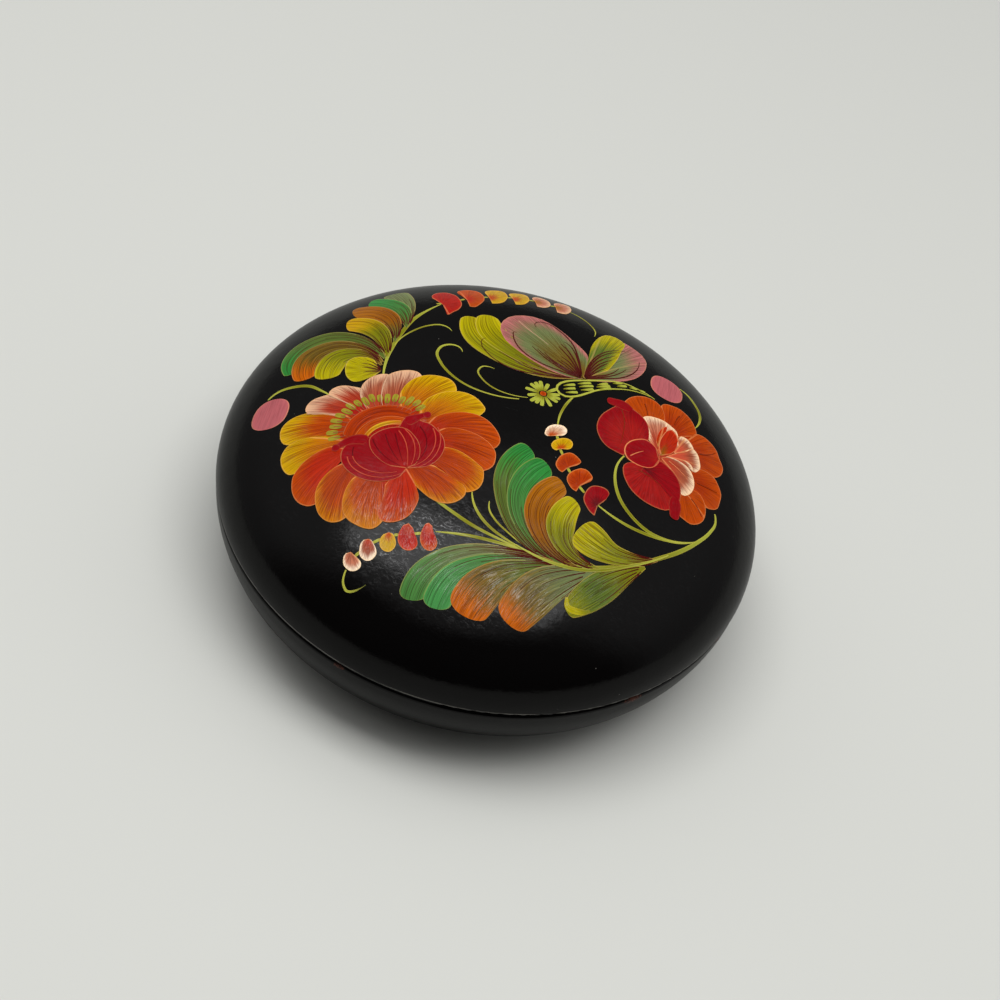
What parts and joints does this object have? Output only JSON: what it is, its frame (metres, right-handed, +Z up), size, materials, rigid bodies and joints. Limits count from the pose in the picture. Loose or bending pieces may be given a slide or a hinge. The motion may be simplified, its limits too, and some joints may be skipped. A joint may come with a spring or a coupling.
{
  "type": "lacquer box",
  "caption": "Round bun-shaped lacquer box: a turned bowl with a flat foot, a glued-in collar and a domed lid that lifts off, black outside with painted flowers on the lid.",
  "frame": {"origin": "centre of the foot, on the surface that the box stands on", "axes": "+Z up along the axis that the box is turned about; +Y away from the viewer of the lid's painting"},
  "size_m": [0.14, 0.14, 0.0585],
  "materials": {
    "black_lacquer": "high-gloss black lacquer over turned wood",
    "red_lacquer": "satin red-brown lacquer",
    "flower_paint": "brush-painted colours under clear lacquer"
  },
  "bodies": {
    "base": {"base_bowl": "black_lacquer", "base_collar": "red_lacquer"},
    "lid": {"lid_dome": "black_lacquer"}
  },
  "joints": [
    {"name": "lid_lift", "type": "slide", "parent": "base", "child": "lid", "axis": [0, 0, 1], "range_m": [0, 0.09]}
  ]
}
